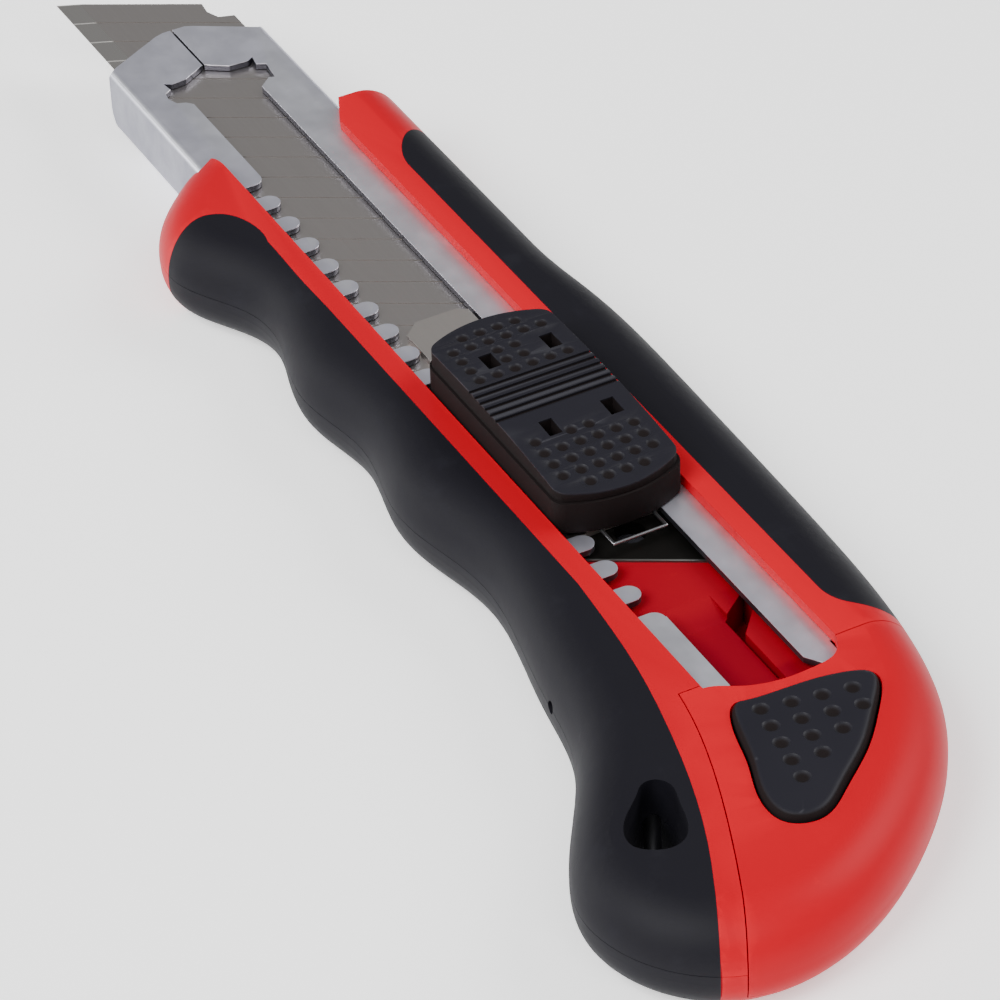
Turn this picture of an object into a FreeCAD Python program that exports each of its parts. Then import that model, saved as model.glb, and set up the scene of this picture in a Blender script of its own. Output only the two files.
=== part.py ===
import FreeCAD, Part
import math
import os

from FreeCAD import Vector

# Snap-off utility knife with a sheet-steel blade guide, a red two-shell housing,
# soft grips, a thumb slider and a magazine that pulls out of the tail.
# +X points to the blade tip, +Y to the finger side, +Z out of the slider face.
# The knife lies on its flat back at z = 0; the blade's centre line is y = 0.
# All sizes are in millimetres.

# Blade
blade_width = 18.0
blade_length = 100.0
blade_thickness = 0.5
blade_tip_x = 96.3
snap_angle = 59.0
score_pitch = 5.0
score_width = 0.16
score_depth = 0.07
bevel_width = 2.5
edge_thickness = 0.06
tail_hole_radius = 1.8
tail_hole_inset = 5.6
spare_count = 3

# Blade guide, folded from sheet
sheet = 0.8
blade_play = 0.75
guide_height = 7.7
nose_x = 82.0
wall_front_x = 77.2
wall_corner = 3.0
fold_radius = 0.9
seam_width = 0.3
seam_y = -0.15
window_x = 72.8
rail_inset = 6.35
tooth_reach = 5.73
tooth_width = 2.7
tooth_pitch = 5.0
first_tooth_x = 41.9
bar_length = 14.4
notch_reach = 2.05

# Housing
handle_front_x = 56.0
handle_rear_x = -96.3
back_wall = 2.5
rim_height = 1.3
rim_cover = 2.5
split_z = 6.0
cap_z = 2.6
top_round = 6.0
bottom_round = 4.8
grip_depth = 2.2
guide_gap = 0.1
part_gap = 0.06
seam_gap = 0.12
front_corner = 2.2
lanyard_collar = 1.4
lanyard_pin_radius = 0.9
lanyard_pin_length = 15.0

# Slider
slider_front_x = 1.1
slider_length = 33.9
slider_gap = 0.25
slider_height = 6.3
slider_lift = 0.2
pad_thickness = 2.3
pad_inset = 0.3
pad_crown_radius = 180.0
pad_crown_x = -11.0
end_bow = 2.3
slider_corner = 2.0
dimple_radius = 0.8
dimple_depth = 0.35
button_dimple_radius = 0.95
rib_count = 6
rib_pitch = 1.2
rib_depth = 0.3
clip_window = (2.7, 1.6)
carrier_reach = 10.9
carrier_thickness = 0.6
wire_radius = 0.2

# Magazine and button
spare_setback = 25.6
tongue_gap = 0.3
insert_gap = 0.15
follower_thickness = 1.2
spring_sheet = 0.25
button_gap = 0.3
button_rise = 0.8
button_edge = 0.9
flange_reach = 0.5
well_reach = 0.9
well_depth = 2.9
screw_radius = 1.3
screw_head_radius = 2.4
thread_gap = 0.03

# Levels and widths that follow from the sizes above
blade_half = blade_width / 2
guide_inner = blade_half + blade_play
guide_half = guide_inner + sheet
rim_half = guide_half + guide_gap
slot_half = guide_half - rim_cover
slider_half = slot_half - slider_gap
guide_z0 = back_wall
guide_z1 = guide_z0 + guide_height
floor_z = guide_z0 + sheet
lip_z = guide_z1 - sheet
body_top = guide_z1 + rim_height
slider_z0 = guide_z1 + slider_lift
slider_top = guide_z1 + slider_height
slider_rear_x = slider_front_x - slider_length
blade_z1 = lip_z - 0.08
blade_z0 = blade_z1 - blade_thickness
stack_pitch = blade_thickness + 0.05
stack_z0 = blade_z0 - spare_count * stack_pitch
rail_y = -guide_half + rail_inset
tooth_y = guide_half - tooth_reach
notch_y = guide_half - notch_reach
slant = 1 / math.tan(math.radians(snap_angle))
guide_rear_x = handle_rear_x + 32.9
cap_seam_x = handle_rear_x + 35.0
spare_rear_x = nose_x + blade_half * slant - spare_setback - blade_length
core_top = body_top - grip_depth
insert_top = core_top - insert_gap
insert_z0 = floor_z + 0.3
tongue_top = blade_z0 - 0.1
carrier_z0 = blade_z1 + 0.02
carrier_z1 = carrier_z0 + carrier_thickness
neck_gap = 0.3
above = 40.0


def box(x0, x1, y0, y1, z0, z1):
    return Part.makeBox(x1 - x0, y1 - y0, z1 - z0, Vector(x0, y0, z0))


def cylinder(x, y, z0, z1, radius):
    return Part.makeCylinder(radius, z1 - z0, Vector(x, y, z0))


def lifted(wire, z0, z1):
    solid = Part.Face(wire).extrude(Vector(0, 0, z1 - z0))
    solid.translate(Vector(0, 0, z0))
    return solid


def polygon(points, z0, z1):
    corners = [Vector(x, y, 0) for x, y in points]
    return lifted(Part.makePolygon(corners + [corners[0]]), z0, z1)


def curve(points):
    spline = Part.BSplineCurve()
    spline.interpolate(Points=[Vector(x, y, 0) for x, y in points])
    return spline.toShape()


def bounded(points, corners):
    # A region with a smooth edge through the points, closed through the corners.
    ring = [points[-1]] + corners + [points[0]]
    sides = [Part.LineSegment(Vector(*a, 0), Vector(*b, 0)).toShape() for a, b in zip(ring, ring[1:])]
    return Part.Wire([curve(points)] + sides)


def loop(points):
    spline = Part.BSplineCurve()
    spline.interpolate(Points=[Vector(x, y, 0) for x, y in points], PeriodicFlag=True)
    return spline


def grown(points, distance):
    # Points moved outwards from a loop that runs clockwise seen from above.
    spline = loop(points)
    moved = []
    for x, y in points:
        along = spline.tangent(spline.parameter(Vector(x, y, 0)))[0]
        moved.append((x - along.y * distance, y + along.x * distance))
    return moved


def loop_prism(points, z0, z1):
    return lifted(Part.Wire([loop(points).toShape()]), z0, z1)


def arch(x0, x1, y0, y1, z0, z1, thickness):
    # A leaf that rises from z0 at both ends to z1 in the middle.
    def strip(lower):
        start = Vector(x0, y0, z0 + lower)
        middle = Vector((x0 + x1) / 2, y0, z1 - thickness + lower)
        return start, middle, Vector(x1, y0, z0 + lower)

    under, over = strip(0.0), strip(thickness)
    edges = [
        Part.Arc(*under).toShape(),
        Part.LineSegment(under[2], over[2]).toShape(),
        Part.Arc(over[2], over[1], over[0]).toShape(),
        Part.LineSegment(over[0], under[0]).toShape(),
    ]
    return Part.Face(Part.Wire(edges)).extrude(Vector(0, y1 - y0, 0))


def save(name, shape):
    if len(shape.Solids) == 1:
        shape = shape.Solids[0]
    shape.exportStep("parts/" + name + ".step")


# Housing outline: swells are measured outwards from the line of the rims

def side_points():
    tail = handle_rear_x
    span = handle_front_x - tail
    palm = -rim_half
    finger = rim_half
    return [
        (tail + 0.764 * span, palm - 7.55),
        (tail + 0.685 * span, palm - 8.65),
        (tail + 0.554 * span, palm - 9.05),
        (tail + 0.357 * span, palm - 8.35),
        (tail + 36.3, palm - 6.95),
        (tail + 22.3, palm - 2.95),
        (tail + 9.0, palm + 8.05),
        (tail + 1.5, finger - 1.05),
        (tail, finger + 6.85),
        (tail + 1.7, finger + 14.15),
        (tail + 6.7, finger + 19.55),
        (tail + 14.5, finger + 22.15),
        (tail + 27.3, finger + 16.95),
        (tail + 37.3, finger + 11.15),
        (tail + 0.324 * span, finger + 8.55),
        (tail + 0.449 * span, finger + 5.75),
        (tail + 0.540 * span, finger + 7.85),
        (tail + 0.622 * span, finger + 5.75),
        (tail + 0.705 * span, finger + 7.15),
        (tail + 0.803 * span, finger + 4.45),
        (tail + 0.898 * span, finger + 9.85),
        (tail + 0.963 * span, finger + 5.05),
        (tail + 1.0066 * span, finger - 3.15),
    ]


def side_curve():
    spline = Part.BSplineCurve()
    knots = [Vector(x, y, 0) for x, y in side_points()]
    spline.interpolate(Points=knots, InitialTangent=Vector(-1, 0, 0), FinalTangent=Vector(0.6, -0.8, 0))
    return spline


def housing_ring(side, inset, z):
    # The outline drawn in by the inset: the sides, then a round front end that the guide hides.
    samples = 52
    first = side.FirstParameter
    step = (side.LastParameter - first) / samples
    points = []
    for index in range(samples + 1):
        at = first + step * index
        along = side.tangent(at)[0]
        points.append(side.value(at) + Vector(along.y, -along.x, 0) * inset + Vector(0, 0, z))
    edge = Part.BSplineCurve()
    edge.interpolate(Points=points, InitialTangent=Vector(-1, 0, 0), FinalTangent=Vector(0.6, -0.8, 0))
    start, finish = side.value(side.LastParameter), side.value(first)
    run = 16.0
    corner = start + Vector(0.6, -0.8, 0) * run
    radius = (corner.y - finish.y) / 1.6
    centre = Vector(corner.x - 0.8 * radius, corner.y - 0.6 * radius, z)
    radius -= inset
    middle = math.radians(-26.6)
    arc = [
        centre + Vector(0.8, 0.6, 0) * radius,
        centre + Vector(math.cos(middle), math.sin(middle), 0) * radius,
        centre + Vector(0, -radius, 0),
    ]
    return Part.Wire([
        edge.toShape(),
        Part.LineSegment(points[-1], arc[0]).toShape(),
        Part.Arc(*arc).toShape(),
        Part.LineSegment(arc[2], points[0]).toShape(),
    ])


def pillow(inset):
    # The whole handle as one rounded block, with every face drawn in by the inset.
    side = side_curve()
    low, high = bottom_round - inset, top_round - inset
    base, top = inset, body_top - inset
    steps = 3
    under, over = [], []
    for index in range(steps + 1):
        turn = math.pi / 2 * index / steps
        drop, draw = 1 - math.sin(turn), 1 - math.cos(turn)
        under.insert(0, housing_ring(side, inset + low * draw, base + low * drop))
        over.append(housing_ring(side, inset + high * draw, top - high * drop))
    bottom = Part.makeLoft(under, True, False)
    crown = Part.makeLoft(over, True, False)
    wall = Part.Face(under[-1]).extrude(Vector(0, 0, top - high - base - low))
    return bottom.fuse([wall, crown]).removeSplitter()


def front_trim():
    # Takes the hidden front end off, squares the palm side and eases the rims.
    side_y = -rim_half - 7.55
    corner_x, corner_y = handle_front_x - front_corner, side_y + front_corner
    far = handle_front_x + 30
    corner = box(corner_x, far, side_y - 5, corner_y, -1, above)
    corner = corner.cut(cylinder(corner_x, corner_y, -1, above, front_corner))
    ease = polygon([
        (handle_front_x - 5.0, -slot_half + 0.1), (handle_front_x + 1.0, -slot_half + 0.1),
        (handle_front_x + 1.0, -rim_half + 0.2), (handle_front_x - 0.8, -rim_half + 0.75),
        (handle_front_x - 3.0, -slot_half - 0.7),
    ], guide_z1, above)
    return [
        box(handle_front_x, far, side_y - 5, slot_half, -1, above),
        box(handle_front_x - 2, far, -rim_half, rim_half, -1, guide_z1),
        corner,
        ease,
    ]


def finger_region():
    tail, front = handle_rear_x, handle_front_x
    edge = [
        (front - 16.0, rim_half + 22), (front - 15.6, rim_half + 9.2), (front - 14.4, rim_half + 5.4),
        (front - 15.0, rim_half + 2.4), (front - 18.0, rim_half + 0.25), (front - 23.0, rim_half),
    ]
    rear = [
        (tail + 56.0, rim_half), (tail + 50.8, rim_half + 0.4), (tail + 40.9, rim_half + 1.5),
        (tail + 31.0, rim_half + 3.5), (tail + 21.5, rim_half + 6.1), (tail + 12.5, rim_half + 9.5),
        (tail + 4.9, rim_half + 13.1), (tail - 4.0, rim_half + 17.0),
    ]
    straight = Part.LineSegment(Vector(*edge[-1], 0), Vector(*rear[0], 0)).toShape()
    ring = [rear[-1], (tail - 4, rim_half + 40), (front - 16.0, rim_half + 40), edge[0]]
    sides = [Part.LineSegment(Vector(*a, 0), Vector(*b, 0)).toShape() for a, b in zip(ring, ring[1:])]
    return lifted(Part.Wire([curve(edge), straight, curve(rear)] + sides), -1, above)


def palm_region():
    tail, front = handle_rear_x, handle_front_x
    edge = [
        (front - 8.6, -rim_half - 14), (front - 8.9, -rim_half - 7.5), (front - 9.8, -rim_half - 4.6),
        (front - 12.6, -rim_half - 1.6), (front - 17.0, -rim_half),
    ]
    rear = [
        (tail + 42.5, -rim_half), (tail + 38.9, -rim_half - 1.5), (tail + 37.0, -rim_half - 4.3),
        (tail + 36.1, -rim_half - 8.0), (tail + 35.6, -rim_half - 14),
    ]
    straight = Part.LineSegment(Vector(*edge[-1], 0), Vector(*rear[0], 0)).toShape()
    closing = Part.LineSegment(Vector(*rear[-1], 0), Vector(*edge[0], 0)).toShape()
    return lifted(Part.Wire([curve(edge), straight, curve(rear), closing]), -1, above)


def cap_region(gap, z0, z1):
    # Plan of the tail cap: the seam across the handle, then the seam along the red strip.
    tail, seam = handle_rear_x, cap_seam_x - gap
    edge = [
        (seam, rim_half - 0.1 - gap), (tail + 31.1, rim_half + 0.6 - gap), (tail + 21.1, rim_half + 3.5 - gap),
        (tail + 11.1, rim_half + 7.4 - gap), (tail + 4.3, rim_half + 10.4 - gap),
        (tail + 0.7, rim_half + 12.1 - gap), (tail - 5.0, rim_half + 14.8 - gap),
    ]
    corners = [(tail - 5, -rim_half - 20), (seam, -rim_half - 20)]
    return lifted(bounded(edge, corners), z0, z1)


def tail_notch():
    # Small V between the red tail and the black lobe.
    tail = handle_rear_x
    return polygon([
        (tail - 2.0, rim_half + 16.1), (tail + 2.2, rim_half + 14.35), (tail - 2.0, rim_half + 14.9),
    ], -1, above)


def lanyard_points():
    x, y = handle_rear_x + 20.2, rim_half + 11.5
    return [
        (x + 4.8, y - 2.0), (x + 4.4, y - 3.2), (x + 3.3, y - 3.85), (x + 0.7, y - 3.4),
        (x - 2.8, y - 2.4), (x - 4.6, y - 0.95), (x - 5.0, y + 0.7), (x - 4.3, y + 2.6),
        (x - 2.9, y + 3.9), (x - 0.9, y + 3.8), (x + 1.6, y + 2.0), (x + 3.6, y - 0.2),
    ]


def lanyard_axis():
    return Vector(handle_rear_x + 20.4, rim_half + 11.45, split_z), Vector(-0.879, 0.476, 0)


def lanyard_pin(extra=0.0):
    centre, along = lanyard_axis()
    start = centre - along * (lanyard_pin_length / 2 + extra)
    length = lanyard_pin_length + 2 * extra
    return Part.makeCylinder(lanyard_pin_radius + extra, length, start, along)


def screw_places():
    tail, front = handle_rear_x, handle_front_x
    return [
        (front - 13.0, -rim_half - 3.2), (tail + 50.0, -rim_half - 3.8), (front - 17.5, rim_half + 4.4),
        (tail + 48.0, rim_half + 3.6), (tail + 9.8, rim_half + 15.4),
    ]


def screw(x, y, extra=0.0):
    shaft = cylinder(x, y, 1.2, core_top - 0.6 + extra, screw_radius + extra)
    head = Part.makeCone(screw_head_radius + extra, screw_radius + extra, 1.2, Vector(x, y, 1.2))
    return shaft.fuse(head)


def housing_screws():
    screws = []
    for x, y in screw_places():
        recess = [
            box(x - 1.4, x + 1.4, y - 0.3, y + 0.3, 1.0, 2.0),
            box(x - 0.3, x + 0.3, y - 1.4, y + 1.4, 1.0, 2.0),
        ]
        screws.append(screw(x, y).cut(recess))
    return Part.makeCompound(screws)


def screw_holes():
    holes = [screw(x, y, thread_gap) for x, y in screw_places()]
    sinks = [cylinder(x, y, -1, 1.2, screw_head_radius + thread_gap) for x, y in screw_places()]
    return holes + sinks


def gate_recess():
    # Small deep pocket on the parting line where the grip was moulded.
    x, y = handle_rear_x + 45.6, rim_half + 6.7
    return Part.makeCylinder(0.7, 4, Vector(x, y, split_z), Vector(0, 1, 0))


def housing():
    blank = pillow(0.0)
    core = pillow(grip_depth)
    skin = blank.cut(core)
    cavity = box(guide_rear_x - guide_gap, nose_x + 20, -rim_half, rim_half,
                 guide_z0 - part_gap, guide_z1 + part_gap)
    rest = front_trim() + [tail_notch(), loop_prism(lanyard_points(), -1, above)]
    upper = box(-200, 200, -100, 100, split_z + part_gap / 2, above)
    lower = box(-200, 200, -100, 100, -1, split_z - part_gap / 2)
    collar = loop_prism(grown(lanyard_points(), lanyard_collar), -1, above).common(blank)
    collar = collar.common(finger_region())
    holes = screw_holes() + [lanyard_pin(thread_gap)]

    finger = skin.common(finger_region()).fuse(collar).cut(rest + holes + [cavity])
    palm = skin.common(palm_region()).cut(rest + holes + [cavity])
    red = blank.cut([finger_region().common(skin), collar, palm_region().common(skin), cavity] + rest + holes)
    slot = box(cap_seam_x - 1, nose_x + 20, -slot_half, slot_half, split_z, above)
    tail = cap_region(-seam_gap, cap_z - part_gap / 2, above)
    tray = cap_region(2.2, back_wall, above).common(core)
    front = red.common(upper).cut([slot, tail])
    save("finger_shell", front.common(box(-200, 200, 0, 100, 0, above)))
    save("palm_shell", front.common(box(-200, 200, -100, 0, 0, above)))
    save("back_shell", red.common(lower).cut([tray, tail]))
    finger = finger.cut(gate_recess())
    save("finger_grip_front", finger.common(upper))
    save("finger_grip_back", finger.common(lower))
    save("palm_grip_front", palm.common(upper))
    save("palm_grip_back", palm.common(lower))
    save("housing_screws", housing_screws())
    save("lanyard_pin", lanyard_pin())
    return blank, core


# Blade guide

def nose_plan(inset, z0, z1):
    tip, edge = nose_x - inset, guide_half
    return polygon([
        (guide_rear_x, -edge), (tip - 5.6, -edge), (tip - 4.8, -edge + 0.9), (tip - 0.45, -2.9),
        (tip, -2.0), (tip, 1.0), (tip - 0.35, 2.1), (tip - 4.2, edge - 1.3), (tip - 5.1, edge),
        (guide_rear_x, edge),
    ], z0, z1)


def guide_window():
    x = window_x - 72.8
    return polygon([
        (x + 72.8, 0.1), (x + 71.1, 3.0), (x + 70.9, 5.0), (x + 71.5, 5.9), (x + 69.9, 5.7),
        (x + 69.3, 6.6), (x + 68.0, 6.8), (x + 66.7, 6.3), (x + 66.3, 5.3), (x + 65.5, tooth_y - 0.2),
        (x + 60.0, tooth_y - 0.2), (x + 60.0, rail_y), (x + 64.8, rail_y), (x + 66.2, -5.8), (x + 65.9, -6.5),
        (x + 69.1, -6.9), (x + 69.7, -5.8), (x + 71.4, -6.1), (x + 70.9, -5.3), (x + 71.0, -2.8),
        (x + 72.8, -0.3),
    ], lip_z - 1, above)


def rounded_tab(x, y, width, z0, z1):
    # A tooth from the folded edge to its full-round tip at y.
    radius = width / 2
    stem = box(x - radius, x + radius, y + radius, guide_half - 0.1, z0, z1)
    return stem.fuse(cylinder(x, y + radius, z0, z1, radius))


def tooth_places():
    count = int((first_tooth_x - bar_front_x()) / tooth_pitch) + 1
    return [first_tooth_x - tooth_pitch * index for index in range(count)]


def bar_front_x():
    return cap_seam_x - 0.1 + bar_length


def guide_lips():
    plate = nose_plan(0.0, lip_z, guide_z1)
    front = window_x - 12.8
    slot = box(guide_rear_x - 1, front + 1, rail_y, tooth_y - 0.2, lip_z - 1, above)
    radius = tooth_width / 2
    lead_end = first_tooth_x + tooth_pitch - 0.9 + radius
    bar_end = bar_front_x() - radius
    notches = box(bar_end, lead_end, tooth_y - 1, notch_y, lip_z - 1, above)
    behind = box(guide_rear_x - 1, cap_seam_x - 0.1, rail_y, notch_y, lip_z - 1, above)
    seam = box(window_x - 1, nose_x + 1, seam_y - seam_width / 2, seam_y + seam_width / 2, lip_z - 1, above)
    rail_corner = polygon([
        (cap_seam_x + 0.2, rail_y + 0.1), (cap_seam_x - 2.1, rail_y - 1.5),
        (guide_rear_x - 1, rail_y - 1.5), (guide_rear_x - 1, rail_y + 0.1),
    ], lip_z - 1, above)
    catch = box(cap_seam_x - 0.7, cap_seam_x + 0.9, -slot_half - 1.3, -slot_half + 0.2, lip_z - 1, above)
    plate = plate.cut([slot, notches, behind, seam, guide_window(), rail_corner, catch])
    teeth = [rounded_tab(x, tooth_y, tooth_width, lip_z, guide_z1) for x in tooth_places()]
    ends = [
        rounded_tab(lead_end, tooth_y - 0.2, tooth_width, lip_z, guide_z1),
        rounded_tab(bar_end, tooth_y - 0.1, tooth_width, lip_z, guide_z1),
    ]
    return plate.fuse(teeth + ends)


def fold_trims():
    # Rounds the outside of the four long folds.
    trims = []
    length = nose_x - guide_rear_x + 2
    for side in (-1, 1):
        for edge_z, inward in ((guide_z0, 1), (guide_z1, -1)):
            y = side * (guide_half - fold_radius)
            z = edge_z + inward * fold_radius
            y0, y1 = sorted((y, side * (guide_half + 1)))
            z0, z1 = sorted((z, edge_z - inward))
            square = box(guide_rear_x - 1, nose_x + 1, y0, y1, z0, z1)
            bend = Part.makeCylinder(fold_radius, length, Vector(guide_rear_x - 1, y, z), Vector(1, 0, 0))
            trims.append(square.cut(bend))
    return trims


def blade_channel():
    walls = []
    for side in (-1, 1):
        y0, y1 = sorted((side * guide_half, side * guide_inner))
        wall = box(guide_rear_x, wall_front_x, y0, y1, guide_z0, guide_z1)
        corner = box(wall_front_x - wall_corner, wall_front_x + 1, y0 - 1, y1 + 1, guide_z0 - 1,
                     guide_z0 + wall_corner)
        bend = Part.makeCylinder(wall_corner, 4, Vector(wall_front_x - wall_corner, y0 - 2,
                                                       guide_z0 + wall_corner), Vector(0, 1, 0))
        walls.append(wall.cut(corner.cut(bend)))
    floor = nose_plan(wall_corner + 2.0, guide_z0, floor_z)
    channel = floor.fuse(walls + [guide_lips()])
    save("blade_channel", channel.cut(fold_trims()).removeSplitter())


# Blades

def blade_blank(tip_x, z0):
    z1 = z0 + blade_thickness
    middle = (z0 + z1) / 2
    half_edge = edge_thickness / 2
    bevel_y = blade_half - bevel_width
    section = [
        (-blade_half, z0), (-blade_half, z1), (bevel_y, z1), (blade_half, middle + half_edge),
        (blade_half, middle - half_edge), (bevel_y, z0),
    ]
    start = tip_x - blade_length - 30
    corners = [Vector(start, y, z) for y, z in section]
    bar = Part.Face(Part.makePolygon(corners + [corners[0]])).extrude(Vector(blade_length + 60, 0, 0))
    shift = blade_width * slant
    plan = polygon([
        (tip_x, blade_half), (tip_x - shift, -blade_half),
        (tip_x - shift - blade_length, -blade_half), (tip_x - blade_length, blade_half),
    ], z0 - 1, z1 + 1)
    return bar.common(plan)


def blade(tip_x, z0):
    z1 = z0 + blade_thickness
    shift = blade_width * slant
    scores = []
    count = int((blade_length - 12) / score_pitch)
    for index in range(1, count):
        x = tip_x - score_pitch * index
        scores.append(polygon([
            (x, blade_half), (x - shift, -blade_half),
            (x - shift - score_width, -blade_half), (x - score_width, blade_half),
        ], z1 - score_depth, z1 + 1))
    spine_x = tip_x - shift
    tab = polygon([
        (spine_x + 2.6, -blade_half + 2.2), (spine_x - 0.6, -blade_half + 2.6),
        (spine_x - 2.4, -blade_half + 1.9), (spine_x - 3.4, -blade_half - 1),
        (spine_x + 3.0, -blade_half - 1),
    ], z0 - 1, z1 + 1)
    hole = cylinder(blade_tail(tip_x) + tail_hole_inset, 0, z0 - 1, z1 + 1, tail_hole_radius)
    return blade_blank(tip_x, z0).cut(scores + [tab, hole])


def blade_tail(tip_x):
    return tip_x - blade_half * slant - blade_length


def blades():
    save("blade", blade(blade_tip_x, blade_z0))
    spare_tip = spare_rear_x + blade_length + blade_half * slant
    for index in range(spare_count):
        save("spare_blade_%d" % (index + 1), blade(spare_tip, blade_z0 - stack_pitch * (index + 1)))


# Slider

def slider_plan(inset, z0, z1):
    half = slider_half - inset
    front, rear = slider_front_x, slider_rear_x + inset
    right_front, left_front = Vector(front - end_bow, -half, 0), Vector(front - end_bow, half, 0)
    right_rear, left_rear = Vector(rear + end_bow, -half, 0), Vector(rear + end_bow, half, 0)
    wire = Part.Wire([
        Part.Arc(right_front, Vector(front, 0, 0), left_front).toShape(),
        Part.LineSegment(left_front, left_rear).toShape(),
        Part.Arc(left_rear, Vector(rear, 0, 0), right_rear).toShape(),
        Part.LineSegment(right_rear, right_front).toShape(),
    ])
    solid = lifted(wire, z0, z1)
    upright = [e for e in solid.Edges if abs(e.BoundBox.ZLength - (z1 - z0)) < 0.01]
    return solid.makeFillet(slider_corner, upright)


def crown():
    # The thumb surface is part of a large cylinder lying across the knife.
    centre = Vector(pad_crown_x, -20, slider_top - pad_crown_radius)
    return Part.makeCylinder(pad_crown_radius, 40, centre, Vector(0, 1, 0))


def crown_z(x):
    return slider_top - pad_crown_radius + math.sqrt(pad_crown_radius ** 2 - (x - pad_crown_x) ** 2)


def clip_places():
    middle = (slider_front_x + slider_rear_x) / 2
    return [(middle + dx, y) for dx in (9.0, -4.7) for y in (-4.75, 2.85)]


def dimple_places():
    # Two fields of dimples in straight rows, clear of the clip windows.
    places = []
    pitch_x, pitch_y = 2.05, 2.2
    for first in (slider_front_x - 2.3, slider_rear_x + 2.6 + 4 * pitch_x):
        for row in range(5):
            for column in range(6):
                x = first - pitch_x * row
                y = pitch_y * (column - 2.5)
                bow = end_bow * (y / slider_half) ** 2
                off_end = x > slider_front_x - bow - 1.2 or x < slider_rear_x + bow + 1.6
                near_clip = any(abs(x - cx) < 2.3 and abs(y - cy) < 1.7 for cx, cy in clip_places())
                if not off_end and not near_clip:
                    places.append((x, y))
    return places


def dimple(x, y, top, radius):
    sphere = (radius ** 2 + dimple_depth ** 2) / (2 * dimple_depth)
    return Part.makeSphere(sphere, Vector(x, y, top - dimple_depth + sphere))


def rib_groove(x):
    # Saw-tooth groove across the pad, its steep face to the front.
    z = crown_z(x)
    groove = [(x - 0.75, z + 0.2), (x + 0.3, z + 0.2), (x + 0.3, z - rib_depth)]
    corners = [Vector(groove_x, -slider_half - 1, groove_z) for groove_x, groove_z in groove]
    face = Part.Face(Part.makePolygon(corners + [corners[0]]))
    return face.extrude(Vector(0, 2 * slider_half + 2, 0))


def slider_pad():
    z0 = slider_top - pad_thickness
    pad = slider_plan(pad_inset, z0, slider_top + 1).common(crown())
    middle = (slider_front_x + slider_rear_x) / 2
    cuts = [dimple(x, y, crown_z(x), dimple_radius) for x, y in dimple_places()]
    cuts += [rib_groove(middle + 4.9 - rib_pitch * index) for index in range(rib_count)]
    length, width = clip_window
    for x, y in clip_places():
        cuts.append(box(x - length / 2, x + length / 2, y - width / 2, y + width / 2, z0 - 1, above))
    save("slider_pad", pad.cut(cuts))


def slider_body():
    z1 = slider_top - pad_thickness
    body = slider_plan(0.0, slider_z0, z1)
    neck_y0, neck_y1 = rail_y + neck_gap, tooth_y - neck_gap
    neck = box(slider_rear_x + 1.8, slider_front_x - 1.6, neck_y0, neck_y1, carrier_z1, slider_z0 + 0.5)
    posts = [cylinder(x, 0.3, carrier_z0 + 0.1, slider_z0, 1.0) for x in stake_places()]
    middle = (slider_front_x + slider_rear_x) / 2
    leaf_pocket = box(middle - 9.2, middle + 9.2, neck_y1 - 1.1, neck_y1 + 0.01, carrier_z1 - 1, slider_z0)
    grooves = [box(slider_rear_x - 1, slider_rear_x + 4.5, y - 0.3, y + 0.3, carrier_z1 - 1,
                   wire_z() + 0.3) for y in wire_sides()]
    pocket = [box(x - 1.6, x + 1.6, y - 1.0, y + 1.0, z1 - 1.6, z1 + 1) for x, y in clip_places()]
    save("slider_body", body.fuse([neck] + posts).cut([leaf_pocket] + grooves + pocket))


def stake_places():
    return [slider_front_x - 17.5, slider_rear_x + 6.2]


def blade_carrier():
    y0, y1 = rail_y + neck_gap, tooth_y - neck_gap
    front = slider_front_x + carrier_reach
    rear = slider_rear_x + 1.8
    plate = polygon([
        (rear, y0), (front - 0.8, y0), (front, y0 + 1.2), (front, y1 - 2.0), (front - 1.8, y1), (rear, y1),
    ], carrier_z0, carrier_z1)
    blade_end = blade_tail(blade_tip_x) - 0.25
    wing = blade_half - 0.1
    wings = polygon([
        (rear, -wing), (blade_end - wing * slant, -wing), (blade_end + wing * slant, wing), (rear, wing),
    ], blade_z0 + 0.02, carrier_z0)
    peg = cylinder(blade_tail(blade_tip_x) + tail_hole_inset, 0, blade_z0 + 0.02, carrier_z0,
                   tail_hole_radius - 0.15)
    stakes = [cylinder(x, 0.3, blade_z0, above, 1.0 + thread_gap) for x in stake_places()]
    save("blade_carrier", plate.fuse([wings, peg]).cut(stakes))


def detent_spring():
    # A leaf in the side of the neck, its crown at the tips of the teeth.
    middle = (slider_front_x + slider_rear_x) / 2
    crown = tooth_y - 0.08
    root = crown - 0.75
    half = 8.6

    def bow(draw):
        return (Vector(middle - half, root - draw, 0), Vector(middle, crown - draw, 0),
                Vector(middle + half, root - draw, 0))

    outer, inner = bow(0.0), bow(spring_sheet)
    wire = Part.Wire([
        Part.Arc(*outer).toShape(),
        Part.LineSegment(outer[2], inner[2]).toShape(),
        Part.Arc(inner[2], inner[1], inner[0]).toShape(),
        Part.LineSegment(inner[0], outer[0]).toShape(),
    ])
    save("detent_spring", lifted(wire, carrier_z1 + 0.05, slider_z0 - 0.05))


def wire_z():
    return carrier_z1 + wire_radius + 0.05


def wire_sides():
    return (-3.1, 3.3)


def pickup_spring():
    x, z = slider_rear_x - 2.2, wire_z()
    low, high = wire_sides()
    parts = [Part.makeCylinder(wire_radius, high - low, Vector(x, low, z), Vector(0, 1, 0))]
    for y in (low, high):
        parts.append(Part.makeSphere(wire_radius, Vector(x, y, z)))
        parts.append(Part.makeCylinder(wire_radius, 6.0, Vector(x, y, z), Vector(1, 0, 0)))
    save("pickup_spring", parts[0].fuse(parts[1:]))


# Magazine

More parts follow.
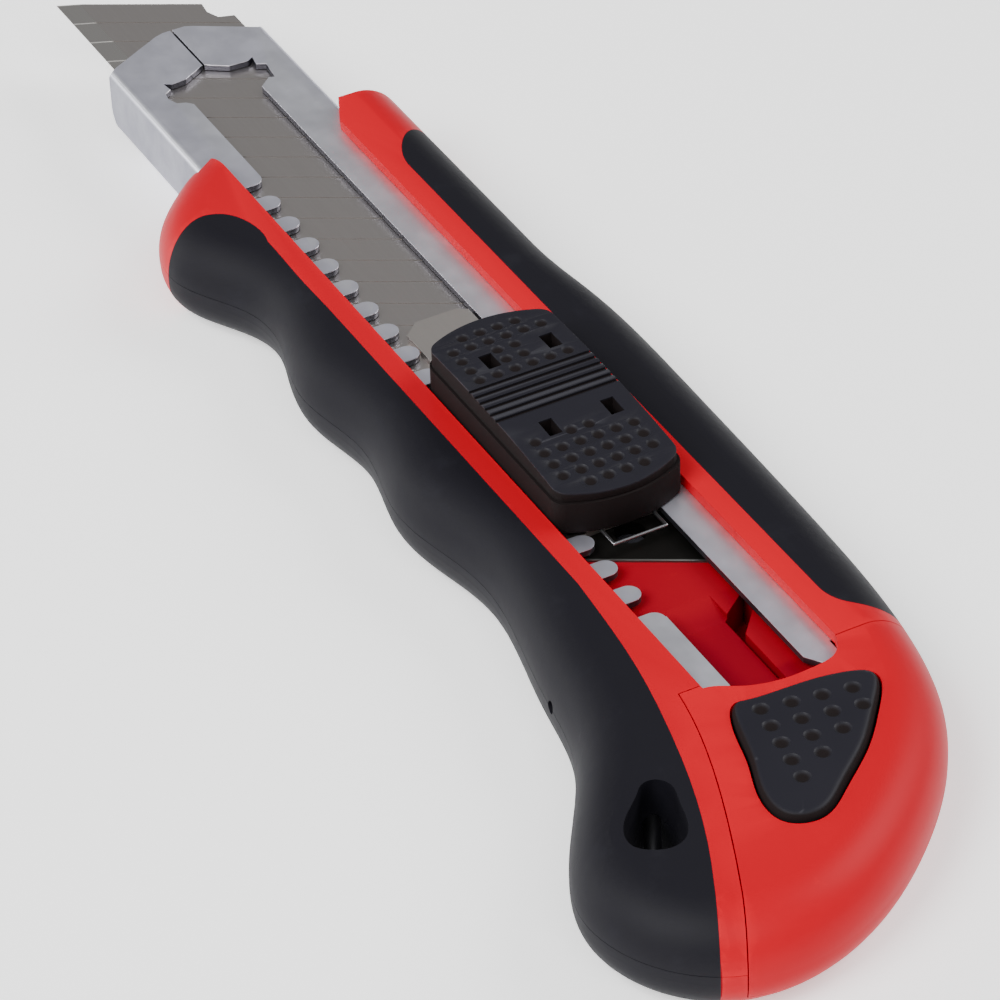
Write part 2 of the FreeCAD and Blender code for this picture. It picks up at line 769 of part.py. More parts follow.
def button_points():
    tail = handle_rear_x
    return [
        (tail + 30.9, 5.9), (tail + 30.4, 0.6), (tail + 29.6, -5.3), (tail + 28.0, -8.2),
        (tail + 23.0, -5.9), (tail + 18.0, -1.4), (tail + 13.8, 3.8), (tail + 11.4, 8.4),
        (tail + 12.7, 11.3), (tail + 16.0, 12.0), (tail + 22.3, 10.1), (tail + 27.8, 8.6),
    ]


def slot_end():
    # The concave end of the thumb slot in the cap's front edge.
    tail = handle_rear_x
    edge = [
        (tail + 36.0, -slot_half), (tail + 34.2, -slot_half + 0.3), (tail + 32.4, -slot_half + 1.8),
        (tail + 31.8, -3.4), (tail + 31.7, -0.6), (tail + 32.1, 2.2), (tail + 33.0, 4.6),
        (tail + 34.1, slot_half - 1.6), (tail + 34.6, slot_half),
    ]
    return lifted(bounded(edge, [(tail + 40, slot_half), (tail + 40, -slot_half)]), split_z, above)


def tail_cap(blank, core):
    hollow = cap_region(2.2, cap_z - 1, above).common(core)
    front = box(guide_rear_x - 0.4, cap_seam_x + 1, -rim_half, rim_half, cap_z - 1, guide_z1 + part_gap)
    rim_slot = slot_end()
    opening = loop_prism(button_points(), split_z, above)
    cap = blank.common(cap_region(0.0, cap_z + part_gap / 2, above))
    save("tail_cap", cap.cut([hollow, front, rim_slot, opening, tail_notch()]))


def magazine_insert():
    x0 = spare_rear_x - tongue_gap
    half = blade_half + 0.3
    rear = guide_rear_x - 3.5
    tongue = polygon([
        (x0 + half * slant, half), (x0 - half * slant, -half), (rear, -half), (rear, half - 2.2),
        (guide_rear_x + 0.6, half - 2.2), (guide_rear_x + 0.6, half),
    ], insert_z0, tongue_top)
    step_x = cap_seam_x + 12.3
    ramp = [
        (step_x + 3.0, tongue_top + 0.01), (step_x - 1.0, tongue_top - 0.7),
        (cap_seam_x - 1.0, tongue_top - 0.7), (cap_seam_x - 1.0, tongue_top + 1),
        (step_x + 3.0, tongue_top + 1),
    ]
    corners = [Vector(x, -1.9, z) for x, z in ramp]
    step = Part.Face(Part.makePolygon(corners + [corners[0]])).extrude(Vector(0, half + 3, 0))
    pocket = polygon([
        (cap_seam_x + 14.4, rail_y - 1.4), (cap_seam_x + 12.0, rail_y - 1.4), (cap_seam_x + 7.8, -1.9),
        (cap_seam_x + 0.6, -1.9), (cap_seam_x + 0.6, -1.5), (cap_seam_x + 11.3, -1.5),
    ], insert_z0 + 0.8, above)
    hull = pillow(grip_depth + insert_gap)
    block = hull.common(cap_region(2.2 + insert_gap, insert_z0, insert_top))
    front = box(guide_rear_x - 0.6, cap_seam_x + 5, -rim_half - 20, rim_half + 20, -1, above)
    block = block.cut(front).fuse(tongue).cut([step, pocket])
    under_lips = box(guide_rear_x - 0.6, cap_seam_x + 2, -rim_half, rim_half, tongue_top, above)
    well = loop_prism(grown(button_points(), well_reach), insert_top - well_depth, above)
    lug_path = box(cap_seam_x - 6.6, cap_seam_x + 1.2, -guide_inner, -slot_half + 0.4,
                   tongue_top - 1.8, above)
    save("magazine_insert", block.cut([under_lips, well, lug_path]))


def release_button():
    top = body_top + button_rise
    shape = grown(button_points(), -button_gap)
    z0 = insert_top - 1.2
    body = loop_prism(shape, z0, top - button_edge)
    rings = []
    steps = 4
    for index in range(steps + 1):
        turn = math.pi / 2 * index / steps
        points = grown(shape, -button_edge * (1 - math.cos(turn)))
        z = top - button_edge * (1 - math.sin(turn))
        wire = Part.Wire([loop(points).toShape()])
        wire.translate(Vector(0, 0, z))
        rings.append(wire)
    crown = Part.makeLoft(rings, True, False)
    flange = loop_prism(grown(button_points(), flange_reach), z0, insert_top)
    lug_z = lip_z - 0.08
    lug = box(cap_seam_x - 6.4, cap_seam_x + 0.7, -guide_inner + 0.25, -slot_half - 0.1, tongue_top - 0.5,
              tongue_top + 0.1)
    lug = lug.fuse(box(cap_seam_x - 0.5, cap_seam_x + 0.7, -guide_inner + 0.25, -slot_half - 0.1,
                       tongue_top, lug_z))
    dimples = []
    for row, count in enumerate((4, 4, 3, 2, 1)):
        for column in range(count):
            x = handle_rear_x + 28.0 - 2.75 * row - 0.6 * column
            y = 5.1 + 0.45 * row - 3.25 * column
            dimples.append(dimple(x, y, top, button_dimple_radius))
    save("release_button", body.fuse([crown, flange, lug]).cut(dimples))


def button_spring():
    x = handle_rear_x + 22.0
    floor = insert_top - well_depth
    save("button_spring", arch(x - 5, x + 5, 2.0, 6.0, floor + 0.02, insert_top - 1.22, spring_sheet))


def follower():
    x1 = spare_rear_x + blade_length - 4
    half = blade_half - 0.2
    top = stack_z0 - 0.05
    plate = polygon([
        (spare_rear_x + half * slant, half), (spare_rear_x - half * slant, -half),
        (x1 - half * slant, -half), (x1 + half * slant, half),
    ], top - follower_thickness, top)
    save("magazine_follower", plate)
    return top - follower_thickness


def follower_spring(top):
    # Three shallow waves between the guide floor and the follower.
    waves = 3
    start = spare_rear_x + 18
    span = 54.0 / waves
    leaves = []
    for index in range(waves):
        x = start + span * index
        leaves.append(arch(x, x + span, -3.5, 3.5, floor_z + 0.02, top - 0.02, spring_sheet))
    save("follower_spring", leaves[0].fuse(leaves[1:]).removeSplitter())


def main():
    os.makedirs("parts", exist_ok=True)
    blank, core = housing()
    blade_channel()
    blades()
    slider_body()
    slider_pad()
    blade_carrier()
    detent_spring()
    pickup_spring()
    tail_cap(blank, core)
    magazine_insert()
    release_button()
    button_spring()
    follower_spring(follower())


main()
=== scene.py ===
import math
import bpy
import bmesh
from mathutils import Matrix, Vector


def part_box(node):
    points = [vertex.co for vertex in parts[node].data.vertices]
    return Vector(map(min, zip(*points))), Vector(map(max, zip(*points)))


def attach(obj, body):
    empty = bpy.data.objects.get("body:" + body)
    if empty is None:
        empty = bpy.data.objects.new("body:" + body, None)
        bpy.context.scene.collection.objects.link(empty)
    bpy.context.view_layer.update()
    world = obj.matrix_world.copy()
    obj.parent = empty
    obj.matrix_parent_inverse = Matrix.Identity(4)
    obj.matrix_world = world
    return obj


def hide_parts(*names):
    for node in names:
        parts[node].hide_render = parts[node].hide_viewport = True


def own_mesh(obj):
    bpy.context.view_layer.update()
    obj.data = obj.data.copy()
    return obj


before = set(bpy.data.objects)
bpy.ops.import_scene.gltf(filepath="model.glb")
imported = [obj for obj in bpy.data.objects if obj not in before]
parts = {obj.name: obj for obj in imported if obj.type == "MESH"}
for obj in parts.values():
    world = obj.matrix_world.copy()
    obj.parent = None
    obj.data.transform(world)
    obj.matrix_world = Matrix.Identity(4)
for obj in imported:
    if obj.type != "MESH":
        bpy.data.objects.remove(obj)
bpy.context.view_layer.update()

mm = 0.001
print("frame loaded:", len(parts), "parts")


# camera: a long lens from behind the tail, looking down at the slider face
cameraSettings = {
    "place": (-0.390448, 0.198435, 0.329307),
    "right": (-0.47616294, -0.87881241, -0.03094508),
    "up": (0.52558674, -0.31263675, 0.79121226),
    "lensMm": 175.02,
    "sensorMm": 36.0,
}


def makeCamera():
    data = bpy.data.cameras.new("knifeCamera")
    data.lens = cameraSettings["lensMm"]
    data.sensor_width = cameraSettings["sensorMm"]
    data.clip_start = 0.01
    camera = bpy.data.objects.new("knifeCamera", data)
    right = Vector(cameraSettings["right"]).normalized()
    up = Vector(cameraSettings["up"]).normalized()
    turn = Matrix((right, up, right.cross(up))).transposed().to_4x4()
    camera.matrix_world = Matrix.Translation(Vector(cameraSettings["place"])) @ turn
    bpy.context.scene.collection.objects.link(camera)
    bpy.context.scene.camera = camera


makeCamera()
print("camera placed")


# a socket that can be used in sums, so masks and patterns read as formulas
class Wire:
    def __init__(self, finish, socket):
        self.finish = finish
        self.socket = socket

    def maths(self, kind, first, second=0.0):
        return self.finish.make("ShaderNodeMath", {"operation": kind}, {0: first, 1: second})

    def __add__(self, other):
        return self.maths("ADD", self, other)

    def __radd__(self, other):
        return self.maths("ADD", other, self)

    def __sub__(self, other):
        return self.maths("SUBTRACT", self, other)

    def __rsub__(self, other):
        return self.maths("SUBTRACT", other, self)

    def __mul__(self, other):
        return self.maths("MULTIPLY", self, other)

    def __rmul__(self, other):
        return self.maths("MULTIPLY", other, self)

    def __truediv__(self, other):
        return self.maths("DIVIDE", self, other)

    def __abs__(self):
        return self.maths("ABSOLUTE", self)

    def fraction(self):
        return self.maths("FRACT", self)

    def clamp(self):
        return self.maths("MINIMUM", self.maths("MAXIMUM", self, 0.0), 1.0)

    def ramp(self, low, high):
        # 0 below low, 1 above high, smooth between
        return self.finish.make("ShaderNodeMapRange", {"interpolation_type": "SMOOTHSTEP"},
                                {"Value": self, "From Min": low, "From Max": high})


# one material, built up around its principled shader
class Finish:
    def __init__(self, name):
        self.material = bpy.data.materials.new(name)
        self.material.use_nodes = True
        self.shader = self.material.node_tree.nodes["Principled BSDF"]

    def plug(self, socket, value):
        if isinstance(value, Wire):
            self.material.node_tree.links.new(value.socket, socket)
        else:
            socket.default_value = value

    def make(self, kind, settings, sockets, output=0):
        node = self.material.node_tree.nodes.new(kind)
        for key, value in settings.items():
            setattr(node, key, value)
        for key, value in sockets.items():
            self.plug(node.inputs[key], value)
        return Wire(self, node.outputs[output])

    def place(self):
        # position on the piece in metres, the same as the design's frame
        return self.make("ShaderNodeTexCoord", {}, {}, "Object")

    def axis(self, letter):
        return self.make("ShaderNodeSeparateXYZ", {}, {0: self.place()}, letter)

    def noise(self, grainMm, detail=3.0, roughness=0.5, stretch=(1.0, 1.0, 1.0)):
        where = self.make("ShaderNodeVectorMath", {"operation": "MULTIPLY"}, {0: self.place(), 1: stretch})
        return self.make("ShaderNodeTexNoise", {}, {
            "Vector": where, "Scale": 1.0 / (grainMm * mm), "Detail": detail, "Roughness": roughness})

    def blend(self, factor, first, second):
        return self.make("ShaderNodeMix", {"data_type": "RGBA"}, {0: factor, 6: first, 7: second}, 2)

    def corners(self, low, high):
        # 1 on sharp outer corners, where a piece is rubbed first; on the guide sheet it places a painted
        # highlight on the folds
        return self.make("ShaderNodeNewGeometry", {}, {}, "Pointiness").ramp(low, high)

    def bump(self, height, depthMm, strength):
        return self.make("ShaderNodeBump", {}, {
            "Height": height, "Distance": depthMm * mm, "Strength": strength})

    def feed(self, sockets):
        for key, value in sockets.items():
            self.plug(self.shader.inputs[key], value)
        return self.material


def lit(red, green, blue):
    # an everyday screen colour, 0 to 255, as the linear colour the shader wants
    linear = [((part / 255.0 + 0.055) / 1.055) ** 2.4 for part in (red, green, blue)]
    return (*linear, 1.0)


# moulded red of the housing and the tail cap: a slow sweep of tone, fine
# grain, and scuffs and rubbed corners in a fresher red
redPlastic = {
    "colour": (0.45, 0.0, 0.0095, 1.0),
    "deepColour": (0.38, 0.0, 0.0080, 1.0),
    "rubbedColour": (0.56, 0.004, 0.014, 1.0),
    "shine": 0.10,
    "roughness": 0.44,
    "sweepMm": 28.0,
    "sweepTone": 0.4,
    "sweepRoughness": 0.10,
    "scuffMm": 2.4,
    "scuffTone": 0.25,
    "scuffRoughness": 0.08,
    "cornerTone": 0.6,
    "grainMm": 0.35,
    "grainDepthMm": 0.006,
}

# painted shade: the magazine's tongue is the same plastic, coloured darker for the shade of the channel
shadedTongueRed = dict(
    redPlastic,
    colour=(0.20, 0.0, 0.008, 1.0),
    deepColour=(0.15, 0.0, 0.006, 1.0),
    rubbedColour=(0.30, 0.002, 0.010, 1.0),
)


def makeRedPlastic(name, look):
    f = Finish(name)
    grain = f.noise(look["grainMm"], 2.0)
    sweep = f.noise(look["sweepMm"])
    scuff = f.noise(look["scuffMm"], 6.0, 0.7).ramp(0.62, 0.74)
    corner = f.corners(0.52, 0.60)
    moulded = f.blend(sweep * look["sweepTone"], look["colour"], look["deepColour"])
    rubbed = (scuff * look["scuffTone"] + corner * look["cornerTone"]).clamp()
    unevenness = (sweep - 0.5) * look["sweepRoughness"] + scuff * look["scuffRoughness"]
    return f.feed({
        "Base Color": f.blend(rubbed, moulded, look["rubbedColour"]),
        "Roughness": look["roughness"] + unevenness,
        "Specular IOR Level": look["shine"],
        "Normal": f.bump(grain, look["grainDepthMm"], 0.6),
    })


# soft black skin of the finger and palm grips, a little dusty where it is held
softGrip = {
    "colour": (0.0052, 0.0048, 0.0078, 1.0),
    "dustColour": (0.0115, 0.0115, 0.0165, 1.0),
    "shine": 0.16,
    "roughness": 0.60,
    "cloudMm": 18.0,
    "cloudTone": 0.2,
    "cloudRoughness": 0.12,
    "dustMm": 4.3,
    "dustTone": 0.35,
    "dustRoughness": 0.05,
    "grainMm": 0.28,
    "grainDepthMm": 0.012,
}


def makeSoftGrip():
    f = Finish("softGrip")
    grain = f.noise(softGrip["grainMm"], 3.0, 0.6)
    cloud = f.noise(softGrip["cloudMm"], 4.0)
    dust = f.noise(softGrip["dustMm"], 5.0, 0.65).ramp(0.55, 0.75)
    tone = (dust * softGrip["dustTone"] + cloud * softGrip["cloudTone"]).clamp()
    unevenness = (cloud - 0.5) * softGrip["cloudRoughness"] + dust * softGrip["dustRoughness"]
    return f.feed({
        "Base Color": f.blend(tone, softGrip["colour"], softGrip["dustColour"]),
        "Roughness": softGrip["roughness"] + unevenness,
        "Specular IOR Level": softGrip["shine"],
        "Normal": f.bump(grain, softGrip["grainDepthMm"], 0.8),
    })


# hard black plastic of the slider, the button and the follower; what lies
# below the touched top (pits, grooves, flanks) is duller and painted darker as shade, tinted by a painted
# reflection of the red housing
hardBlack = {
    "colour": (0.0095, 0.0090, 0.0135, 1.0),
    "edgeColour": (0.050, 0.050, 0.058, 1.0),
    "edgeTone": 0.5,
    "lowColour": (0.0050, 0.0022, 0.0018, 1.0),
    "lowTone": 0.9,
    "lowFromMm": 0.05,
    "lowToMm": 0.28,
    "lowRoughness": 0.34,
    "shine": 0.17,
    "roughness": 0.48,
    "cloudMm": 11.0,
    "cloudTone": 0.08,
    "cloudRoughness": 0.14,
    "grainMm": 0.38,
    "grainDepthMm": 0.010,
}

# where the top of each black piece is: a level, bent down from its crest on
# the pad; a piece without one has the painted shade all over (1) or not at all (0)
blackTops = {
    "sliderPadBlack": {"topMm": 16.5, "crestMm": -11.0, "bendMm": 180.0},
    # the slider body has the painted shade and red reflection all over
    "sliderBodyShadedBlack": {"low": 1.0},
    "buttonBlack": {"topMm": 12.3},
    "followerBlack": {"low": 0.0},
}


def paintedShadeMask(f, top):
    # 1 on all that lies below the touched top, where the painted shade goes
    if "low" in top:
        return top["low"]
    level = top["topMm"] * mm
    if "bendMm" in top:
        away = f.axis("X") - top["crestMm"] * mm
        level = level - away * away / (2 * top["bendMm"] * mm)
    return (level - f.axis("Z")).ramp(hardBlack["lowFromMm"] * mm, hardBlack["lowToMm"] * mm)


def makeHardBlack(name):
    f = Finish(name)
    low = paintedShadeMask(f, blackTops[name])
    grain = f.noise(hardBlack["grainMm"], 3.0, 0.6)
    cloud = f.noise(hardBlack["cloudMm"], 4.0)
    edge = f.corners(0.54, 0.66) * (1 - low)
    tone = (edge * hardBlack["edgeTone"] + cloud * hardBlack["cloudTone"]).clamp()
    touched = f.blend(tone, hardBlack["colour"], hardBlack["edgeColour"])
    unevenness = (cloud - 0.5) * hardBlack["cloudRoughness"] + low * hardBlack["lowRoughness"]
    return f.feed({
        # painted shade: below the top the colour is darkened and tinted as a painted reflection of the red
        # housing
        "Base Color": f.blend(low * hardBlack["lowTone"], touched, hardBlack["lowColour"]),
        "Roughness": hardBlack["roughness"] + unevenness,
        "Specular IOR Level": hardBlack["shine"],
        "Normal": f.bump(grain, hardBlack["grainDepthMm"], 0.7),
    })


# folded sheet of the blade guide: satin, with faint drawing marks along it,
# side walls painted darker as shade, a painted shadow along the cut edges around the window and a painted
# highlight on the folds
guideSheet = {
    "colour": lit(240, 240, 252),
    "markColour": lit(214, 215, 229),
    "wallShadeColour": lit(122, 123, 134),
    "paintedCutColour": lit(92, 92, 100),
    "foldHighlightColour": lit(240, 241, 246),
    "foldHighlightTone": 0.5,
    "roughness": 0.42,
    "markMm": 1.1,
    "markDepthMm": 0.004,
    "blotchMm": 14.0,
    "smearMm": 3.8,
    "smearRoughness": 0.22,
    "topMm": 10.2,
    "sheetMm": 0.8,
    "halfWidthMm": 10.55,
    "windowHalfMm": 9.6,
}


def cutEdgeShadow(f):
    # 1 on the cut through the sheet around the window, just under its top, where a painted shadow goes
    depth = guideSheet["topMm"] * mm - f.axis("Z")
    sheet = guideSheet["sheetMm"] * mm
    window = guideSheet["windowHalfMm"] * mm
    within = 1 - abs(f.axis("Y")).ramp(window, window + 0.1 * mm)
    return depth.ramp(0.07 * mm, 0.13 * mm) * (1 - depth.ramp(sheet, sheet * 1.1)) * within


def makeGuideSheet():
    f = Finish("guideSheet")
    marks = f.noise(guideSheet["markMm"], 4.0, 0.6, (0.04, 1.0, 1.0))
    blotch = f.noise(guideSheet["blotchMm"], 5.0, 0.6)
    smear = f.noise(guideSheet["smearMm"], 4.0, 0.6, (1.0, 1.0, 0.5))
    side = guideSheet["halfWidthMm"] * mm
    wall = abs(f.axis("Y")).ramp(side - 0.3 * mm, side)
    # painted highlight: the folds of the sheet are lightened
    foldHighlight = f.corners(0.53, 0.62) * (1 - wall)
    flat = f.blend((blotch * 0.55 + marks * 0.25).clamp(), guideSheet["colour"], guideSheet["markColour"])
    # painted shade: the side walls take a darker colour
    wallShaded = f.blend(wall * (0.65 + smear * 0.35), flat, guideSheet["wallShadeColour"])
    folded = f.blend(foldHighlight * guideSheet["foldHighlightTone"], wallShaded, guideSheet["foldHighlightColour"])
    return f.feed({
        # painted shadow: the cut edges under the window's rim are darkened
        "Base Color": f.blend(cutEdgeShadow(f), folded, guideSheet["paintedCutColour"]),
        "Roughness": guideSheet["roughness"] + (smear - 0.5) * guideSheet["smearRoughness"] + marks * 0.06,
        "Metallic": 1.0,
        "Normal": f.bump(marks + smear * 0.5, guideSheet["markDepthMm"], 0.6),
    })


# ground blade steel, warmer than the guide, with a polished bevel along the
# edge and a soft dark line in each snap score
bladeSteel = {
    "colour": lit(210, 205, 203),
    "darkColour": lit(180, 174, 171),
    "bevelColour": lit(208, 205, 202),
    "scoreColour": lit(132, 126, 122),
    "scoreTone": 0.85,
    "scoreRoughness": 0.40,
    "roughness": 0.34,
    "grindMm": 0.42,
    "grindDepthMm": 0.003,
    "crossGrindMm": 0.67,
    "blotchMm": 16.0,
    "blotchRoughness": 0.12,
    "bevelPolish": 0.08,
    "tipMm": 96.3,
    "halfWidthMm": 9.0,
    "bevelMm": 2.5,
    "slant": 0.6009,
    "scorePitchMm": 5.0,
    "scoreMm": 0.16,
}


def scoreLines(f):
    # 1 along the slanted snap scores, counted back from the tip
    pitch = bladeSteel["scorePitchMm"]
    fromEdge = bladeSteel["halfWidthMm"] * mm - f.axis("Y")
    behindTip = bladeSteel["tipMm"] * mm - bladeSteel["slant"] * fromEdge - f.axis("X")
    centre = 0.5 * bladeSteel["scoreMm"] / pitch
    offLine = abs((behindTip / (pitch * mm) + (0.5 - centre)).fraction() - 0.5) * pitch
    return 1 - offLine.ramp(bladeSteel["scoreMm"] * 0.55, bladeSteel["scoreMm"] * 0.95)


def makeBladeSteel():
    f = Finish("groundBlade")
    grind = f.noise(bladeSteel["grindMm"], 4.0, 0.6, (0.05, 1.0, 1.0))
    crossGrind = f.noise(bladeSteel["crossGrindMm"], 3.0, 0.6, (1.0, 0.05, 1.0))
    blotch = f.noise(bladeSteel["blotchMm"], 5.0, 0.65)
    start = (bladeSteel["halfWidthMm"] - bladeSteel["bevelMm"]) * mm
    bevel = f.axis("Y").ramp(start - 0.1 * mm, start + 0.1 * mm)
    score = scoreLines(f)
    flat = f.blend((blotch * 0.6 + grind * 0.3).clamp(), bladeSteel["colour"], bladeSteel["darkColour"])
    scored = f.blend(score * bladeSteel["scoreTone"], flat, bladeSteel["scoreColour"])
    unevenness = (blotch - 0.5) * bladeSteel["blotchRoughness"] + score * bladeSteel["scoreRoughness"]
    return f.feed({
        "Base Color": f.blend(bevel, scored, bladeSteel["bevelColour"]),
        "Roughness": bladeSteel["roughness"] + unevenness - bevel * bladeSteel["bevelPolish"],
        "Metallic": 1.0,
        "Normal": f.bump(grind * (1 - bevel) + crossGrind * bevel, bladeSteel["grindDepthMm"], 0.5),
    })


# the stored blades: painted dark as shade, with a painted highlight as a bright line along the slanted
# rear
storedBlade = {
    "bladeShadeColour": (0.022, 0.021, 0.020, 1.0),
    "paleBladeShadeColour": (0.050, 0.045, 0.040, 1.0),
    "paintedCutColour": lit(206, 206, 202),
    "rearMm": -38.38,
    "rearHighlightMm": 0.45,
    "cutPolish": 0.15,
    "roughness": 0.42,
    "smearMm": 8.3,
    "smearRoughness": 0.15,
}


def makeStoredBlade():
    f = Finish("storedBlade")
    grind = f.noise(bladeSteel["grindMm"], 4.0, 0.6, (0.05, 1.0, 1.0))
    smear = f.noise(storedBlade["smearMm"], 4.0, 0.6)
    ahead = f.axis("X") - f.axis("Y") * bladeSteel["slant"] - storedBlade["rearMm"] * mm
    # painted highlight: a bright line along the slanted rear edge
    rearHighlight = 1 - ahead.ramp(storedBlade["rearHighlightMm"] * 0.8 * mm, storedBlade["rearHighlightMm"] * 1.2 * mm)
    # painted shade: the rest of the top is coloured near black
    bladeShaded = f.blend(smear * 0.5, storedBlade["bladeShadeColour"], storedBlade["paleBladeShadeColour"])
    unevenness = smear * storedBlade["smearRoughness"] - rearHighlight * storedBlade["cutPolish"]
    return f.feed({
        "Base Color": f.blend(rearHighlight, bladeShaded, storedBlade["paintedCutColour"]),
        "Roughness": storedBlade["roughness"] + unevenness,
        "Metallic": 1.0,
        "Normal": f.bump(grind, bladeSteel["grindDepthMm"], 0.5),
    })


# small pressed, rolled and turned metal, with marks along the way it was drawn
smallMetal = {
    "carrier": {"colour": lit(222, 216, 211), "roughness": 0.39, "stretch": (0.06, 1.0, 1.0)},
    "spring": {"colour": lit(178, 178, 182), "roughness": 0.29, "stretch": (0.06, 1.0, 1.0)},
    "bar": {"colour": lit(118, 118, 122), "roughness": 0.35, "stretch": (1.0, 0.06, 1.0)},
    "screw": {"colour": lit(140, 140, 146), "roughness": 0.35, "stretch": (1.0, 1.0, 0.06)},
}

metalMarks = {
    "drawnMm": 0.56,
    "drawnDepthMm": 0.004,
    "stainMm": 4.2,
    "stainShade": 0.62,
    "stainRoughness": 0.14,
}


def makeSmallMetal(name):
    look = smallMetal[name]
    f = Finish("metal_" + name)
    drawn = f.noise(metalMarks["drawnMm"], 4.0, 0.6, look["stretch"])
    stain = f.noise(metalMarks["stainMm"], 5.0, 0.65)
    stained = tuple(part * metalMarks["stainShade"] for part in look["colour"][:3]) + (1.0,)
    return f.feed({
        "Base Color": f.blend((stain * 0.6 + drawn * 0.2).clamp(), look["colour"], stained),
        "Roughness": look["roughness"] + (stain - 0.5) * metalMarks["stainRoughness"],
        "Metallic": 1.0,
        "Normal": f.bump(drawn, metalMarks["drawnDepthMm"], 0.6),
    })


print("finishes ready")


# softly broken edges: how wide on each kind of piece, and from what angle on
softEdge = {
    "padMm": 0.2,
    "padAngle": 60.0,
    "bodyMm": 0.15,
    "sheetMm": 0.06,
    "angle": 32.0,
    "segments": 3,
    "weldMm": 0.002,
}


def dress(names, material, edgeMm=0.0, angle=softEdge["angle"]):
    # the finish and, where a width is given, a broken edge
    for name in names:
        piece = parts[name]
        piece.data.materials.clear()
        piece.data.materials.append(material)
        if edgeMm:
            weld = piece.modifiers.new("weld", "WELD")
            weld.merge_threshold = softEdge["weldMm"] * mm
            bevel = piece.modifiers.new("softEdge", "BEVEL")
            bevel.width = edgeMm * mm
            bevel.segments = softEdge["segments"]
            bevel.limit_method = "ANGLE"
            bevel.angle_limit = math.radians(angle)
            bevel.harden_normals = True


dress(["finger_shell", "palm_shell", "back_shell"], makeRedPlastic("mouldedRed", redPlastic))
dress(["tail_cap"], makeRedPlastic("capRed", redPlastic))
dress(["magazine_insert"], makeRedPlastic("shadedTongueRed", shadedTongueRed))
dress(["finger_grip_front", "finger_grip_back", "palm_grip_front", "palm_grip_back"], makeSoftGrip())
dress(["blade_channel"], makeGuideSheet(), softEdge["sheetMm"])
dress(["blade"], makeBladeSteel())
dress(["spare_blade_1", "spare_blade_2", "spare_blade_3"], makeStoredBlade())
dress(["slider_pad"], makeHardBlack("sliderPadBlack"), softEdge["padMm"], softEdge["padAngle"])
dress(["slider_body"], makeHardBlack("sliderBodyShadedBlack"), softEdge["bodyMm"])
dress(["release_button"], makeHardBlack("buttonBlack"))
dress(["magazine_follower"], makeHardBlack("followerBlack"))
dress(["blade_carrier"], makeSmallMetal("carrier"), softEdge["sheetMm"])
springSteel = makeSmallMetal("spring")
dress(["detent_spring", "pickup_spring"], springSteel)
dress(["lanyard_pin"], makeSmallMetal("bar"))
dress(["housing_screws"], makeSmallMetal("screw"))
print("parts dressed")


# waved leaf springs under what they carry, built in their waved, unpressed shape
leafSprings = {
    "followerLeaf": {
        "node": "follower_spring", "body": "housing", "joint": "follower_lift",
        "waves": 3, "thicknessMm": 0.25, "keep": 0.37,
    },
    "buttonLeaf": {
        "node": "button_spring", "body": "magazine", "joint": "button_press",
        "waves": 1, "thicknessMm": 0.25, "keep": 0.26,
    },
}

stepsPerWave = 24


def makeLeafSpring(name, leaf):
    low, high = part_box(leaf["node"])
    thick = leaf["thicknessMm"] * mm
    swing = high.z - low.z - thick
    count = leaf["waves"] * stepsPerWave
    mesh = bmesh.new()
    rings = []
    for step in range(count + 1):
        x = low.x + (high.x - low.x) * step / count
        z = low.z + swing * (0.5 - 0.5 * math.cos(math.tau * step / stepsPerWave))
        section = [(x, low.y, z), (x, high.y, z), (x, high.y, z + thick), (x, low.y, z + thick)]
        rings.append([mesh.verts.new(point) for point in section])
    for first, second in zip(rings, rings[1:]):
        for corner in range(4):
            after = (corner + 1) % 4
            mesh.faces.new((first[corner], first[after], second[after], second[corner]))
    mesh.faces.new(rings[0][::-1])
    mesh.faces.new(rings[-1])
    bmesh.ops.recalc_face_normals(mesh, faces=mesh.faces)
    data = bpy.data.meshes.new(name)
    mesh.to_mesh(data)
    mesh.free()
    data.materials.append(springSteel)
    piece = bpy.data.objects.new(name, data)
    bpy.context.scene.collection.objects.link(piece)
    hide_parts(leaf["node"])
    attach(piece, leaf["body"])
    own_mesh(piece)


for name, leaf in leafSprings.items():
    makeLeafSpring(name, leaf)
print("leaf springs made")


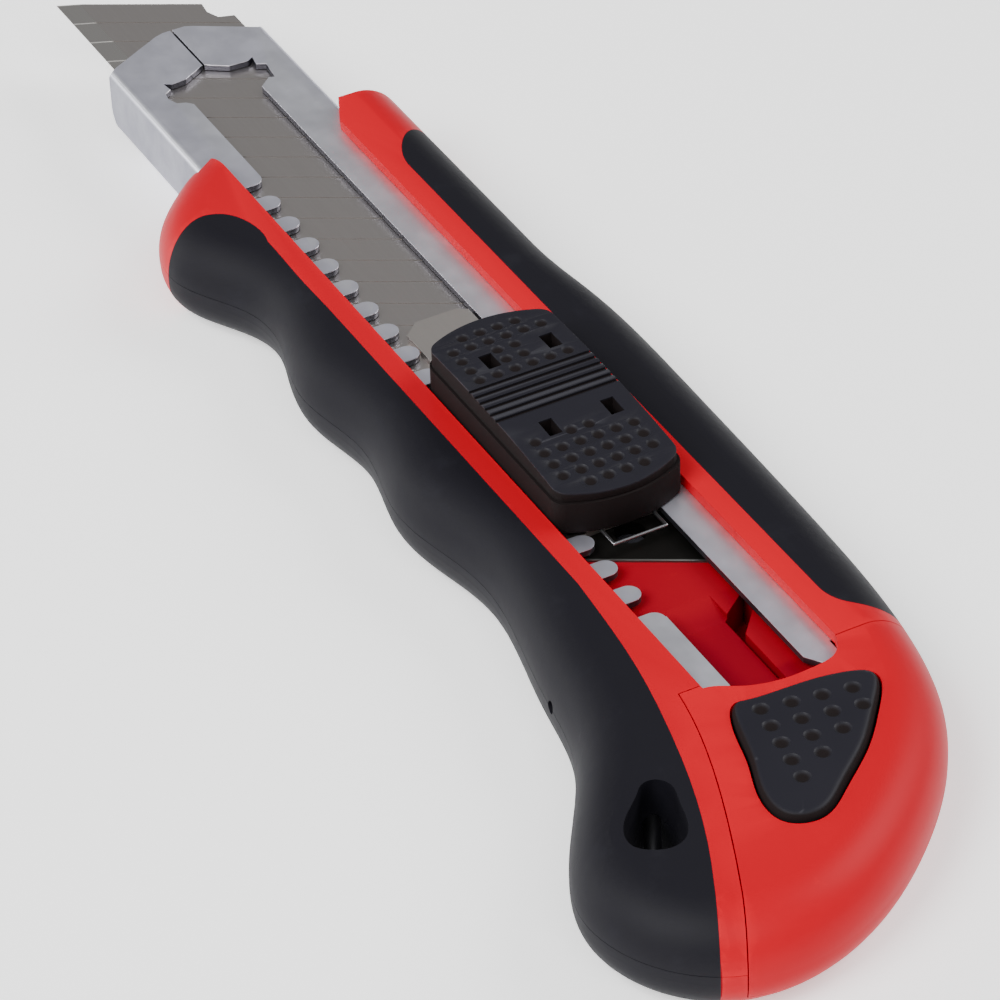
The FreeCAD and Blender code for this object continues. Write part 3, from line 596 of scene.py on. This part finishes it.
# pale sweep under the knife
paleFloor = {
    "size": 3.0,
    "drop": 0.0002,
    "colour": (0.93, 0.93, 0.93, 1.0),
    "toothColour": (0.88, 0.88, 0.88, 1.0),
    "toothMm": 2.0,
    "toothDepthMm": 0.02,
    "roughness": 0.85,
    "glow": 0.7,
}


def makeFloor():
    half = paleFloor["size"] / 2
    level = -paleFloor["drop"]
    corners = [(-half, -half, level), (half, -half, level), (half, half, level), (-half, half, level)]
    mesh = bpy.data.meshes.new("paleFloor")
    mesh.from_pydata(corners, [], [(0, 1, 2, 3)])
    floor = bpy.data.objects.new("paleFloor", mesh)
    bpy.context.scene.collection.objects.link(floor)
    f = Finish("palePaper")
    tooth = f.noise(paleFloor["toothMm"])
    paper = f.blend(tooth * 0.3, paleFloor["colour"], paleFloor["toothColour"])
    mesh.materials.append(f.feed({
        "Base Color": paper,
        "Roughness": paleFloor["roughness"] + tooth * 0.05,
        "Emission Color": paper,
        "Emission Strength": paleFloor["glow"],
        "Normal": f.bump(tooth, paleFloor["toothDepthMm"], 0.2),
    }))


makeFloor()
print("floor laid")


# soft studio: large panels, each aimed at the middle of the knife
panels = {
    "overFinger": {"place": (-0.20, 0.70, 0.80), "size": 0.60, "watts": 15.0},
    "overPalm": {"place": (-0.10, -0.90, 0.70), "size": 0.60, "watts": 9.0},
    "overTail": {"place": (-0.80, 0.10, 0.80), "size": 0.50, "watts": 3.8},
    "alongFinger": {"place": (0.75, 0.75, 0.30), "size": 0.50, "watts": 5.0},
}

studioAir = {"colour": (1.0, 1.0, 1.0, 1.0), "strength": 0.30}


def makeLights():
    for name, panel in panels.items():
        data = bpy.data.lights.new(name, "AREA")
        data.shape = "SQUARE"
        data.size = panel["size"]
        data.energy = panel["watts"]
        light = bpy.data.objects.new(name, data)
        light.location = panel["place"]
        light.rotation_euler = (-Vector(panel["place"])).to_track_quat("-Z", "Y").to_euler()
        bpy.context.scene.collection.objects.link(light)
    world = bpy.data.worlds.new("studioAir")
    world.use_nodes = True
    air = world.node_tree.nodes["Background"]
    air.inputs["Color"].default_value = studioAir["colour"]
    air.inputs["Strength"].default_value = studioAir["strength"]
    bpy.context.scene.world = world


makeLights()
print("studio lit")

bpy.context.view_layer.update()
